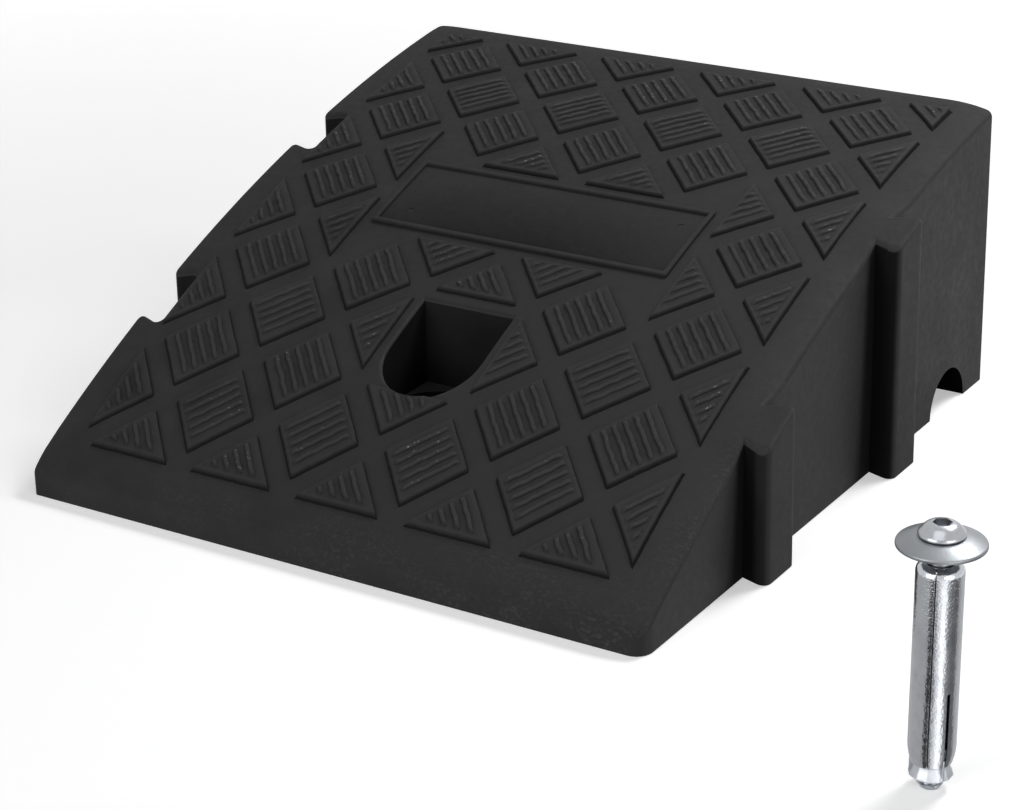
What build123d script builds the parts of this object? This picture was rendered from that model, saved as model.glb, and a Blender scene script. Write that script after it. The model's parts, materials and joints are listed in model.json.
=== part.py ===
from build123d import *
import os
from math import atan2, cos, degrees, hypot, pi, sin, sqrt

# Rubber kerb ramp, with the expansion anchor that holds it down standing beside it.
# Millimetres. The origin is on the ground, on the axis of the ramp's anchor hole.
# X runs across the ramp, Y from the low front edge towards the kerb, Z up.

# Ramp moulding
ramp_width = 250.0
ramp_depth = 270.0
ramp_height = 110.0
lip_height = 12.0
crown_bulge = 16.0  # rise of the drive-up face above a straight slope
front_corner_radius = 6.0
back_corner_radius = 2.5
top_edge_radius = 3.0

# Anchor pocket: a round recess with a straight-backed mouth above it
hole_from_front = 75.0
pocket_radius = 19.0
pocket_back = 22.0  # back wall behind the hole axis
ledge_height = 31.0
floor_height = 15.0

# Tread: ribbed diamonds in staggered rows, and a raised frame round a bare name plate
tiles_across = 5
tile_rows = 12
tread_margin = 12.5  # bare border along both sides
tile_gap = 5.5  # from a tile's corner to the middle of the groove
tile_height = 1.4
rib_height = 0.7
rib_width = 1.7
rib_pitch = 3.8
ribs_per_tile = 5
rib_inset = 2.2  # from the ends of a rib to the edge of its tile
plate_row = 6
plate_gap = 4.5  # from the frame to the cut tiles round it
frame_width = 3.0
rim_width = 1.5  # bare rim round the pocket
tread_root = 1.0  # how far the tread reaches into the body, to join it

# Dovetail tongues on the right, slots for the next ramp's tongues on the left
first_tongue_y = 0.5
tongue_spacing = 99.0
tongue_neck = 16.0
tongue_head = 23.0
tongue_reach = 10.3
tongue_round = 2.5
slot_clearance = 1.5  # on each flank
slot_end_clearance = 0.7
mouth_round = 2.0

# Underside: a drain channel along the kerb, and square cores that leave ribs between them
channel_radius = 15.5
channel_from_back = 35.0
core_size = 26.0
core_rib = 10.0
core_roof = 14.0
core_wall = 8.0  # between a core and the pocket, the channel or a slot
core_draft = 1.5  # degrees
core_columns = 6
core_rows = 4

# Expansion anchor
anchor_side_gap = 109.6  # from the ramp's side to the anchor's axis
anchor_ahead = 24.6  # of the ramp's front edge
bolt_length = 80.0  # under the head
thread_radius = 4.0
thread_length = 42.0
shank_radius = 3.55
tip_chamfer = 1.0
head_radius = 6.9
head_height = 3.8
head_rim = 0.9
head_flat_radius = 4.2
socket_size = 5.0  # across the flats
socket_depth = 2.4
washer_radius = 13.0
washer_thickness = 1.2
washer_dish = 2.2
washer_flat_radius = 7.2
washer_clearance = 0.3  # round the thread
star_radius = 5.2
star_thickness = 0.8
star_points = 8
star_notch = 0.9
sleeve_radius = 7.0
sleeve_wall = 1.3
sleeve_length = 63.2
sleeve_bottom = 8.3
sleeve_shoulder = 2.6
sleeve_lip_clearance = 0.15  # round the thread
slit_length = 24.6
slit_width = 1.0
slit_angle = 208.0  # first slit, degrees from +X
finger_count = 3
finger_curl = 0.9  # how far the fingers' ends turn in
finger_curl_length = 4.2
nut_bottom = 3.8
nut_wide_radius = 6.65
nut_narrow_radius = 5.05
nut_collar_length = 5.0
nut_rim = 0.6
nut_facets = 12
nut_clearance = 0.05  # round the thread
lug_clearance = 0.15  # on each side, in the slit
lug_length = 6.5
hole_clearance = 0.4  # round the sleeve

front_y = -hole_from_front
back_y = ramp_depth - hole_from_front
half_width = ramp_width / 2
tile_pitch = (ramp_width - 2 * tread_margin) / tiles_across
first_row_y = front_y + tile_pitch / 4
row_pitch = (ramp_depth - tile_pitch / 2) / (tile_rows - 1)
hole_radius = sleeve_radius + hole_clearance
tongue_ys = [first_tongue_y, first_tongue_y + tongue_spacing]
channel_y = back_y - channel_from_back

os.makedirs("parts", exist_ok=True)


def below_crown(lift, width):
    """Everything under the drive-up face after that face is moved up by lift."""
    low = (front_y, lip_height + lift)
    high = (back_y, ramp_height + lift)
    crown = SagittaArc(low, high, crown_bulge)
    ground = Polyline(high, (back_y, 0), (front_y, 0), low)
    return extrude(Plane.YZ * make_face(crown + ground), width / 2, both=True)


def crown_height(y):
    """Height of the drive-up face at y, from the same arc as below_crown."""
    run, rise = ramp_depth, ramp_height - lip_height
    chord = sqrt(run**2 + rise**2)
    radius = (chord**2 / 4 + crown_bulge**2) / (2 * crown_bulge)
    drop = radius - crown_bulge
    centre_y = (front_y + back_y) / 2 + drop * rise / chord
    centre_z = (lip_height + ramp_height) / 2 - drop * run / chord
    return centre_z + sqrt(radius**2 - (y - centre_y) ** 2)


# Block: the wedge under the crown, with rounded corners and a rounded top edge
ramp = below_crown(0, ramp_width)
for y, radius in ((front_y, front_corner_radius), (back_y, back_corner_radius)):
    corners = ramp.edges().filter_by(Axis.Z).filter_by_position(Axis.Y, y - 1, y + 1)
    ramp = fillet(corners, radius)
drive_face = ramp.faces().filter_by(GeomType.CYLINDER).sort_by(SortBy.AREA)[-1]
ramp = fillet(drive_face.edges(), top_edge_radius)

# Tongues: dovetails down the right side, cut off flush with the drive-up face
for y in tongue_ys:
    head_x = half_width + tongue_reach
    plan = make_face(
        Polyline(
            (half_width - 2 * top_edge_radius, y - tongue_neck / 2),
            (half_width, y - tongue_neck / 2),
            (head_x, y - tongue_head / 2),
            (head_x, y + tongue_head / 2),
            (half_width, y + tongue_neck / 2),
            (half_width - 2 * top_edge_radius, y + tongue_neck / 2),
            close=True,
        )
    )
    plan = fillet(plan.vertices().group_by(Axis.X)[-1], tongue_round)
    ramp += extrude(plan, ramp_height) & below_crown(0, 2 * ramp_width)

# Slots: the same dovetail with clearance, through the full height of the left side
for y in tongue_ys:
    mouth = tongue_neck / 2 + slot_clearance
    inner = tongue_head / 2 + slot_clearance
    end_x = -half_width + tongue_reach + slot_end_clearance
    plan = make_face(
        Polyline(
            (-half_width - 3, y - 2 * inner),
            (-half_width, y - 2 * inner),
            (-half_width, y - mouth),
            (end_x, y - inner),
            (end_x, y + inner),
            (-half_width, y + mouth),
            (-half_width, y + 2 * inner),
            (-half_width - 3, y + 2 * inner),
            close=True,
        )
    )
    inner_corners = plan.vertices().group_by(Axis.X)[-1]
    mouth_corners = plan.vertices().filter_by(lambda v: abs(abs(v.Y - y) - mouth) < 0.01)
    plan = fillet(inner_corners + mouth_corners, mouth_round)
    ramp -= extrude(plan, 2 * ramp_height)

# Anchor pocket: mouth down to the ledge, round recess down to the floor, hole through the floor
mouth_plan = Circle(pocket_radius) + Pos(0, pocket_back / 2) * Rectangle(2 * pocket_radius, pocket_back)
ramp -= Pos(0, 0, ledge_height) * extrude(mouth_plan, ramp_height)
ramp -= Pos(0, 0, floor_height) * extrude(Circle(pocket_radius), ramp_height)
ramp -= extrude(Circle(hole_radius), floor_height)

# Drain channel: half-round, from side to side
ramp -= extrude(Plane.YZ * Pos(channel_y, 0) * Circle(channel_radius), 2 * ramp_width, both=True)

# Cores: as deep as the roof over them allows, kept clear of the pocket
core_pitch = core_size + core_rib
last_core_y = channel_y - channel_radius - core_wall - core_size / 2
cores = []
for column in range(core_columns):
    x = (column - (core_columns - 1) / 2) * core_pitch
    for row in range(core_rows):
        y = last_core_y - row * core_pitch
        beside = abs(x) > pocket_radius + core_wall + core_size / 2
        behind = y > pocket_back + core_wall + core_size / 2
        height = crown_height(y - core_size / 2) - core_roof
        if (beside or behind) and height > core_size / 2:
            cores.append(Pos(x, y) * extrude(Rectangle(core_size, core_size), height, taper=core_draft))
ramp -= cores

# Tread plan: one diamond tile with its ribs, the field it repeats in, and what interrupts the field
tile_half_x = tile_pitch / 2 - tile_gap
tile_half_y = row_pitch - tile_gap
tile = Polygon((tile_half_x, 0), (0, tile_half_y), (-tile_half_x, 0), (0, -tile_half_y))
tile_lean = degrees(atan2(tile_half_y, tile_half_x))
rib = Rectangle(hypot(tile_half_x, tile_half_y) - 2 * rib_inset, rib_width)
ribs = [Pos(0, (i - (ribs_per_tile - 1) / 2) * rib_pitch) * rib for i in range(ribs_per_tile)]
field_depth = (tile_rows - 1) * row_pitch
field = Pos(0, first_row_y + field_depth / 2) * Rectangle(tiles_across * tile_pitch, field_depth)
plate_place = Pos(0, first_row_y + plate_row * row_pitch)
plate_corners = Sketch() + [loc * tile for loc in GridLocations(3 * tile_pitch, 2 * row_pitch, 2, 2)]
plate_clear = plate_corners & Rectangle(3 * tile_pitch, 4 * row_pitch)
plate_clear = plate_place * (plate_clear + Rectangle(3 * tile_pitch, 2 * row_pitch))
pocket_clear = Pos(0, -3 * row_pitch) * plate_place * Rectangle(tile_pitch, 2 * row_pitch)
pocket_rim = offset(mouth_plan, rim_width)


def row_layer(y, low, high):
    """Layer along the slope of one tile row, between two heights above the drive-up face."""
    middle = crown_height(y)
    rise = (crown_height(y + row_pitch) - crown_height(y - row_pitch)) / 2
    side_view = Polyline(
        (y - row_pitch, middle - rise + low),
        (y + row_pitch, middle + rise + low),
        (y + row_pitch, middle + rise + high),
        (y - row_pitch, middle - rise + high),
        close=True,
    )
    return extrude(Plane.YZ * make_face(side_view), ramp_width, both=True)


# Tread: row by row, each tile's top flat along the slope; the ribs of neighbouring rows are crossed
tread = []
for row in range(tile_rows):
    y = first_row_y + row * row_pitch
    count = tiles_across + row % 2
    tile_plan = Sketch()
    rib_plan = Sketch()
    for column in range(count):
        place = Pos((column - (count - 1) / 2) * tile_pitch, y)
        crossed = row % 2 == 1 and column > 0 and row < tile_rows - 1
        turn = Rot(0, 0, tile_lean if crossed else -tile_lean)
        tile_plan += place * tile
        rib_plan += [place * turn * bar for bar in ribs]
    tile_plan &= field
    tile_plan -= [plate_clear, pocket_clear, pocket_rim]
    rib_plan &= offset(tile_plan, -rib_inset, kind=Kind.INTERSECTION)
    tiles = extrude(tile_plan, 2 * ramp_height) & row_layer(y, -tread_root, tile_height)
    tiles += extrude(rib_plan, 2 * ramp_height) & row_layer(y, -tread_root, tile_height + rib_height)
    tread += tiles.solids()

# Plate frame: raised rim round the bare name plate
plate_width = 3 * tile_pitch - 2 * plate_gap
plate_depth = 2 * row_pitch - 2 * plate_gap + frame_width / 2
frame = Rectangle(plate_width, plate_depth)
frame -= Rectangle(plate_width - 2 * frame_width, plate_depth - 2 * frame_width)
plate_layer = row_layer(plate_place.position.Y, -tread_root, tile_height)
tread += (extrude(plate_place * frame, 2 * ramp_height) & plate_layer).solids()
ramp += tread
export_step(ramp, "parts/ramp_body.step")


def turned(outline):
    """Solid of revolution about Z, from an outline of (radius, height)."""
    return revolve(Plane.XZ * make_face(outline), Axis.Z)


# The anchor is made upright on the Z axis, with its tip on the ground, and moved to its place
anchor_place = Pos(half_width + anchor_side_gap, front_y - anchor_ahead)
head_top = bolt_length + head_height
washer_underside = bolt_length - washer_thickness

# Bolt: threaded shaft with a thinner shank, low domed head with a hexagon socket
shaft = Polyline(
    (0, head_top),
    (0, 0),
    (thread_radius - tip_chamfer, 0),
    (thread_radius, tip_chamfer),
    (thread_radius, thread_length),
    (shank_radius, thread_length),
    (shank_radius, bolt_length),
    (head_radius, bolt_length),
    (head_radius, bolt_length + head_rim),
)
dome = SagittaArc((head_radius, bolt_length + head_rim), (head_flat_radius, head_top), -head_rim / 2)
bolt = turned(shaft + dome + Line((head_flat_radius, head_top), (0, head_top)))
socket = RegularPolygon(socket_size / 2, 6, major_radius=False)
bolt -= Pos(0, 0, head_top - socket_depth) * extrude(socket, head_height)
export_step(anchor_place * bolt, "parts/anchor_bolt.step")

# Dished washer: flat under the head, its rim lower, its hole wide enough for the thread
washer_hole = thread_radius + washer_clearance
washer = turned(
    Polyline(
        (washer_hole, washer_underside),
        (washer_hole, bolt_length),
        (washer_flat_radius, bolt_length),
        (washer_radius, bolt_length - washer_dish),
        (washer_radius, washer_underside - washer_dish),
        (washer_flat_radius, washer_underside),
        close=True,
    )
)
export_step(anchor_place * washer, "parts/dished_washer.step")

# Star washer: pushed up the shank against the dished washer, so that it stays on the bolt
star_outline = [
    ((star_radius - star_notch * (i % 2)) * cos(pi * i / star_points),
     (star_radius - star_notch * (i % 2)) * sin(pi * i / star_points))
    for i in range(2 * star_points)
]
star = make_face(Polyline(*star_outline, close=True)) - Circle(shank_radius)
star = Pos(0, 0, washer_underside - star_thickness) * extrude(star, star_thickness)
export_step(anchor_place * star, "parts/star_washer.step")

# Sleeve: tube above the slits, its top turned in round the bolt
sleeve_bore = sleeve_radius - sleeve_wall
sleeve_top = sleeve_bottom + sleeve_length
slit_top = sleeve_bottom + slit_length
lip_radius = thread_radius + sleeve_lip_clearance
shoulder_step = sleeve_shoulder * (1 - cos(pi / 4))
sleeve = turned(
    Polyline(
        (sleeve_radius, slit_top),
        (sleeve_radius, sleeve_top - sleeve_shoulder),
        (sleeve_radius - shoulder_step, sleeve_top - shoulder_step),
        (sleeve_radius - sleeve_shoulder, sleeve_top),
        (lip_radius, sleeve_top),
        (lip_radius, sleeve_top - sleeve_wall),
        (sleeve_bore, sleeve_top - sleeve_shoulder),
        (sleeve_bore, slit_top),
        close=True,
    )
)
export_step(anchor_place * sleeve, "parts/anchor_sleeve.step")

# Fingers: the slit part of the sleeve, one node each because the cone nut bends them outwards
finger_ring = turned(
    Polyline(
        (sleeve_bore, sleeve_bottom),
        (sleeve_bore, slit_top),
        (sleeve_radius, slit_top),
        (sleeve_radius, sleeve_bottom + finger_curl_length),
        (sleeve_radius - finger_curl, sleeve_bottom),
        close=True,
    )
)
sector = 360 / finger_count
slit_angles = [slit_angle + i * sector for i in range(finger_count)]
slit = Pos(sleeve_radius, 0, slit_top / 2) * Box(2 * sleeve_radius, slit_width, slit_top)
finger_ring -= [Rot(0, 0, angle) * slit for angle in slit_angles]
for i, angle in enumerate(slit_angles):
    middle = Rot(0, 0, angle + sector / 2) * Pos(sleeve_radius, 0, sleeve_bottom)
    finger = finger_ring.solids().sort_by_distance(middle.position)[0]
    export_step(anchor_place * finger, f"parts/sleeve_finger_{i + 1}.step")

# Cone nut: faceted cone that is drawn into the fingers, with lugs in the slits so that it cannot turn
def facets(radius, z):
    """Cross-section of the cone at one height."""
    return Pos(0, 0, z) * RegularPolygon(radius, nut_facets)


nut = loft([facets(nut_wide_radius - nut_rim, nut_bottom), facets(nut_wide_radius, nut_bottom + nut_rim)])
nut += loft([facets(nut_wide_radius, nut_bottom + nut_rim), facets(nut_narrow_radius, sleeve_bottom)])
collar_radius = nut_narrow_radius * cos(pi / nut_facets)
nut += Pos(0, 0, sleeve_bottom) * extrude(Circle(collar_radius), nut_collar_length)
lug_reach = nut_wide_radius - nut_rim / 2
lug = Pos(lug_reach / 2, 0, nut_bottom + nut_rim + lug_length / 2)
lug *= Box(lug_reach, slit_width - 2 * lug_clearance, lug_length)
nut += [Rot(0, 0, angle) * lug for angle in slit_angles]
nut -= Pos(0, 0, nut_bottom) * extrude(Circle(thread_radius + nut_clearance), sleeve_length)
export_step(anchor_place * nut, "parts/cone_nut.step")
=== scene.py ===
import json
from math import atan2, cos, degrees, hypot, pi, radians, sin, sqrt, tau

import bmesh
import bpy
from mathutils import Matrix, Vector, noise


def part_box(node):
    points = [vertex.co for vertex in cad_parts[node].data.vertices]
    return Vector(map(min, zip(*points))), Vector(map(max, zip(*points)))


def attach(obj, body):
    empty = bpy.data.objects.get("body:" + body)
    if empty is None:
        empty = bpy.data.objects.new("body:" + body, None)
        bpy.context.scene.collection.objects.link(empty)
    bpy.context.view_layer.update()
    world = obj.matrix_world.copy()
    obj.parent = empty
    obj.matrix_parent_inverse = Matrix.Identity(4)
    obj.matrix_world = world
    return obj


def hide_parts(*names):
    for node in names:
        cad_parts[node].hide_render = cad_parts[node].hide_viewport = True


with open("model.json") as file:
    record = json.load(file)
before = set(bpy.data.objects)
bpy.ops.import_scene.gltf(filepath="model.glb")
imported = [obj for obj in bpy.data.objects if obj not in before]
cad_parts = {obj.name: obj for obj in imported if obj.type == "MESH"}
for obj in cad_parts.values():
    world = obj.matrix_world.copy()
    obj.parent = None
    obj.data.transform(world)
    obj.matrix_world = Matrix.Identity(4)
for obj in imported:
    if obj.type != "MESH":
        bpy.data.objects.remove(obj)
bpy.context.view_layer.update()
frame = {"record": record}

scene = bpy.context.scene
scene.view_settings.view_transform = "Standard"


# Ramp body: one wedge of black rubber, pressed from tyre crumb in a hot mould, with a gently crowned
# drive-up face. Dovetail tongues on its right side lock into the slots in the next ramp's left side.
# An open pocket leads down to the hole for the anchor that holds it to the road.
ramp_low, ramp_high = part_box("ramp_body")
mounts = {mount["name"]: mount for mount in frame["record"]["mounts"]}
swell = 0.001  # the moulding comes out of the mould a little full
half_width = swell - ramp_low.x
front_y, back_y = ramp_low.y, ramp_high.y + swell
kerb_height, lip_height, crown_rise = 0.1113, 0.012, 0.016
side_draft = 0.006  # of the half width, over the full height
edge_round, edge_steps = 0.0028, 5
right_fall, left_fall, front_fall, back_fall = 0.0024, 0.0006, 0.0022, 0.0005
right_width, soft_width, front_wear = 0.018, 0.011, 0.7
left_corner, right_corner, back_corner, corner_steps = 0.002, 0.006, 0.0032, 6
tongue_ys = [mounts[name]["pos_m"][1] for name in ("front_tongue", "back_tongue")]
tongue_reach = ramp_high.x + ramp_low.x
tongue_neck, tongue_head, tongue_corner = 0.016, 0.023, 0.0042
slot_depth, slot_mouth, slot_inside, slot_corner = 0.011, 0.019, 0.026, 0.0034
pocket_radius, pocket_back, pocket_steps = 0.019, 0.022, 16
pocket_edge, pocket_edge_steps = 0.0013, 3
ledge_height = 0.031
hole_radius = mounts["anchor_hole"]["dims"]["r_mm"] / 1000
floor_height = mounts["anchor_hole"]["dims"]["length_mm"] / 1000
channel_radius, channel_from_back = 0.0155, 0.035
core_size, core_rib, core_wall, core_roof = 0.026, 0.010, 0.008, 0.014
core_columns, core_rows, core_draft = 6, 4, radians(1.5)
near = 1e-5

# Finish of the rubber: dull and a little blotchy, with a fine grain and shallow dents. Its upward faces
# are painted paler towards the right, as painted light. Painted highlights make some places paler and
# painted shade makes others black, and pale specks show on the ribs and pale scuffs on the worn edges
dark_tone, pale_tone, patch_tone, right_light_tone = 0.017, 0.0285, 0.0235, 0.029
painted_highlight_tone, painted_shade_tone, scuff_tone, speck_tone = 0.050, 0.003, 0.075, (0.22, 0.22, 0.21, 1)
right_light_start, right_light_end = 0.01, 0.13
right_light_tilt, right_light_level = 0.4, 0.8
ridge_start, bare_specks = 0.6, 0.02
least_highlight, most_highlight, painted_shade_strength = 0.17, 0.33, 0.80
scuff_turn, scuff_scale = radians(-25), (620, 1500, 900)
rubber_roughness, rubber_relief, rubber_depth = 0.60, 0.2, 0.0003


def add_node(tree, kind, inputs=(), **settings):
    """Adds one shader node. Inputs are values, or sockets of other nodes to link."""
    node = tree.nodes.new("ShaderNode" + kind)
    for name, value in settings.items():
        setattr(node, name, value)
    for name, value in dict(inputs).items():
        if isinstance(value, bpy.types.NodeSocket):
            tree.links.new(value, node.inputs[name])
        else:
            node.inputs[name].default_value = value
    return node


def new_skin(name, *inputs):
    """Empty shader group for a skin that has a colour, a roughness and a height, and its inputs."""
    group = bpy.data.node_groups.new(name, "ShaderNodeTree")
    for label in inputs:
        group.interface.new_socket(label, in_out="INPUT", socket_type="NodeSocketFloat")
    for label, kind in (("Colour", "Color"), ("Roughness", "Float"), ("Height", "Float")):
        group.interface.new_socket(label, in_out="OUTPUT", socket_type="NodeSocket" + kind)
    return group, group.nodes.new("NodeGroupInput").outputs


def close_skin(group, *results):
    """Links a colour, a roughness and a height to the outputs of a skin."""
    for result, socket in zip(results, group.nodes.new("NodeGroupOutput").inputs):
        group.links.new(result, socket)


def skinned(name, group, relief, depth, inputs):
    """Material with a skin, its shader, and the skin's place in it."""
    material = bpy.data.materials.new(name)
    material.use_nodes = True
    tree = material.node_tree
    shader = tree.nodes["Principled BSDF"]
    skin = add_node(tree, "Group", node_tree=group)
    for label, value in inputs.items():
        skin.inputs[label].default_value = value
    bump = add_node(tree, "Bump", {"Height": skin.outputs["Height"], "Strength": relief, "Distance": depth})
    tree.links.new(skin.outputs["Colour"], shader.inputs["Base Color"])
    tree.links.new(skin.outputs["Roughness"], shader.inputs["Roughness"])
    tree.links.new(bump.outputs[0], shader.inputs["Normal"])
    return material, shader, skin


def arithmetic(tree, operation, *values, clamp=False):
    """Result of one Math node."""
    node = add_node(tree, "Math", dict(enumerate(values)), operation=operation, use_clamp=clamp)
    return node.outputs[0]


def summed(tree, *terms):
    """Weighted sum of sockets, each term a (socket, weight)."""
    total = 0.0
    for socket, weight in terms:
        total = arithmetic(tree, "MULTIPLY_ADD", socket, weight, total)
    return total


def ranged(tree, value, low, high, to_low=0.0, to_high=1.0):
    """Value brought from one range to another, and held within it."""
    ends = {"From Min": low, "From Max": high, "To Min": to_low, "To Max": to_high}
    return add_node(tree, "MapRange", {"Value": value, **ends}).outputs[0]


def spotted(tree, place, scale, low, high, detail=2.0):
    """Noise turned into a mask: 0 below low, 1 above high."""
    cloud = add_node(tree, "TexNoise", {"Vector": place, "Scale": scale, "Detail": detail})
    return ranged(tree, cloud.outputs[0], low, high)


def grey(level):
    return (level, level, level, 1)


def mixed(tree, factor, first, second):
    """Colour mix of two colours or sockets."""
    return add_node(tree, "Mix", {0: factor, 6: first, 7: second}, data_type="RGBA").outputs[2]


rubber_skin, skin_in = new_skin("rubber_skin", "Specks", "Light_and_shade_paint", "Scuffed")
skin_place = add_node(rubber_skin, "TexCoord").outputs["Object"]
blotches = spotted(rubber_skin, skin_place, scale=50, low=0.32, high=0.68)
patches = spotted(rubber_skin, skin_place, scale=11, low=0.35, high=0.65, detail=3)
grain = spotted(rubber_skin, skin_place, scale=1300, low=0.25, high=0.75)
pits = spotted(rubber_skin, skin_place, scale=380, low=0.30, high=0.70, detail=3)
dents = spotted(rubber_skin, skin_place, scale=150, low=0.68, high=0.74)
dust = spotted(rubber_skin, skin_place, scale=30, low=0.52, high=0.66)
specks = spotted(rubber_skin, skin_place, scale=800, low=0.64, high=0.76, detail=1)
lumps = spotted(rubber_skin, skin_place, scale=95, low=0.30, high=0.70, detail=1)
scuff_place = add_node(
    rubber_skin, "Mapping", {"Vector": skin_place, "Rotation": (0, 0, scuff_turn), "Scale": scuff_scale}
).outputs[0]
scuffs = spotted(rubber_skin, scuff_place, scale=1, low=0.50, high=0.80, detail=3)

painted_light_and_shade = skin_in["Light_and_shade_paint"]
ridges = ranged(rubber_skin, painted_light_and_shade, ridge_start, 1.0)
dusty_ribs = arithmetic(rubber_skin, "MULTIPLY_ADD", ridges, dust, bare_specks)
seen_specks = arithmetic(rubber_skin, "MULTIPLY", specks, skin_in["Specks"])
speck_share = arithmetic(rubber_skin, "MULTIPLY", seen_specks, dusty_ribs)
from_middle = add_node(rubber_skin, "SeparateXYZ", {0: skin_place}).outputs["X"]
skin_normal = add_node(rubber_skin, "NewGeometry").outputs["Normal"]
upward = add_node(rubber_skin, "SeparateXYZ", {0: skin_normal}).outputs["Z"]
# Painted light: upward faces grow paler towards the right
to_right = ranged(rubber_skin, from_middle, right_light_start, right_light_end)
right_light_share = arithmetic(rubber_skin, "MULTIPLY", to_right, ranged(rubber_skin, upward, right_light_tilt, right_light_level))
# Painted highlight where the mesh's value is above 0, painted shade where it is below
highlight_depth = ranged(rubber_skin, patches, 0.0, 1.0, least_highlight, most_highlight)
highlight_share = arithmetic(rubber_skin, "MULTIPLY", painted_light_and_shade, highlight_depth, clamp=True)
painted_shade_share = arithmetic(rubber_skin, "MULTIPLY", painted_light_and_shade, -painted_shade_strength, clamp=True)
worn_places = arithmetic(rubber_skin, "MULTIPLY", blotches, skin_in["Scuffed"])
scuff_share = arithmetic(rubber_skin, "MULTIPLY", scuffs, worn_places)

skin_colour = mixed(rubber_skin, blotches, grey(dark_tone), grey(pale_tone))
skin_colour = mixed(rubber_skin, patches, skin_colour, grey(patch_tone))
# Painted light towards the right, then painted highlights, then painted shade
skin_colour = mixed(rubber_skin, right_light_share, skin_colour, grey(right_light_tone))
skin_colour = mixed(rubber_skin, highlight_share, skin_colour, grey(painted_highlight_tone))
skin_colour = mixed(rubber_skin, painted_shade_share, skin_colour, grey(painted_shade_tone))
skin_colour = mixed(rubber_skin, speck_share, skin_colour, speck_tone)
skin_colour = mixed(rubber_skin, scuff_share, skin_colour, grey(scuff_tone))
rough_spots = summed(rubber_skin, (blotches, 0.10), (pits, 0.12), (painted_light_and_shade, -0.12), (painted_shade_share, 0.30))
skin_rough = arithmetic(rubber_skin, "ADD", rough_spots, rubber_roughness, clamp=True)
skin_height = summed(rubber_skin, (grain, 0.08), (pits, 0.12), (lumps, 1.6), (dents, -0.6))
close_skin(rubber_skin, skin_colour, skin_rough, skin_height)


def rubber(name, specks, shine=0.10):
    """Black rubber with or without pale specks. The mesh says where light and shade are painted on, and where
    it is scuffed.
    """
    material, shader, skin = skinned(name, rubber_skin, rubber_relief, rubber_depth, {"Specks": specks})
    shader.inputs["Specular IOR Level"].default_value = shine
    tree = material.node_tree
    light_shade_layer, shade_and_grime, scrapes = [
        add_node(tree, "Attribute", attribute_name=label).outputs["Fac"]
        for label in ("painted_light_and_shade", "painted_side_shade", "scuffed")
    ]
    tree.links.new(arithmetic(tree, "SUBTRACT", light_shade_layer, shade_and_grime), skin.inputs["Light_and_shade_paint"])
    tree.links.new(scrapes, skin.inputs["Scuffed"])
    return material


# Outline of the moulding, seen from above, in two halves that meet at the pocket
def dovetail(x, reach, mouth, inside, middle_y):
    """Corners of a dovetail that starts at x and widens over its reach."""
    near_end = [(x, middle_y - mouth / 2), (x, middle_y + mouth / 2)]
    far_end = [(x + reach, middle_y - inside / 2), (x + reach, middle_y + inside / 2)]
    return [near_end[0], far_end[0], far_end[1], near_end[1]]


def round_corners(bm, places, reach, segments):
    """Rounds the corners of a flat outline that lie at these places."""
    corners = [v for v in bm.verts if any((v.co.xy - Vector(p)).length < near for p in places)]
    bmesh.ops.bevel(
        bm, geom=corners, affect="VERTICES", offset=reach, segments=segments, profile=0.5, material=-1
    )


tongues = [dovetail(half_width, tongue_reach, tongue_neck, tongue_head, y) for y in tongue_ys]
slots = [dovetail(-half_width, slot_depth, slot_mouth, slot_inside, y)[::-1] for y in reversed(tongue_ys)]
pocket_corners = [(pocket_radius, -pocket_radius), (-pocket_radius, -pocket_radius)]
right_outline = [(0, front_y), (half_width, front_y), *sum(tongues, [])]
right_outline += [(half_width, back_y), (0, back_y), (0, pocket_back), (pocket_radius, pocket_back)]
right_outline += [pocket_corners[0], (0, -pocket_radius)]
left_outline = [(0, back_y), (-half_width, back_y), *sum(slots, [])]
left_outline += [(-half_width, front_y), (0, front_y), (0, -pocket_radius), pocket_corners[1]]
left_outline += [(-pocket_radius, pocket_back), (0, pocket_back)]

ramp = bmesh.new()
for outline in (right_outline, left_outline):
    ramp.faces.new([ramp.verts.new((x, y, 0)) for x, y in outline])
bmesh.ops.remove_doubles(ramp, verts=ramp.verts, dist=near)
round_corners(ramp, [(-half_width, front_y)], left_corner, corner_steps)
round_corners(ramp, [(half_width, front_y)], right_corner, corner_steps)
round_corners(ramp, [(-half_width, back_y), (half_width, back_y)], back_corner, corner_steps)
round_corners(ramp, [corner for tongue in tongues for corner in tongue[1:3]], tongue_corner, corner_steps)
round_corners(ramp, [corner for slot in slots for corner in slot], slot_corner, corner_steps)
round_corners(ramp, pocket_corners, pocket_radius - near / 2, pocket_steps)
bmesh.ops.remove_doubles(ramp, verts=ramp.verts, dist=near)


# Block of the full height with rounded rims, then bent down to the crown and its soft borders
wall_tilt, edge_turn, square_on, nearly_level = 0.3, 0.5, 0.7, 0.95  # parts of a face's normal
station = 0.0075
end_stations = (0.0035, 0.0055)
root_stations = (0.002, 0.005, 0.009, 0.014, 0.020)
side_stations = [half_width - right_width * share for share in (0.18, 0.25, 0.35, 0.45, 0.6, 0.8, 1.0)]


def extruded(bm, faces):
    """Extrudes faces in place, and gives the new vertices."""
    new_parts = bmesh.ops.extrude_face_region(bm, geom=faces)["geom"]
    return [part for part in new_parts if isinstance(part, bmesh.types.BMVert)]


def round_edges(bm, edges, reach, segments):
    bmesh.ops.bevel(
        bm, geom=edges, affect="EDGES", offset=reach, segments=segments, profile=0.5, material=-1,
        clamp_overlap=True,
    )


def everything(bm):
    return bm.verts[:] + bm.edges[:] + bm.faces[:]


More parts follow.
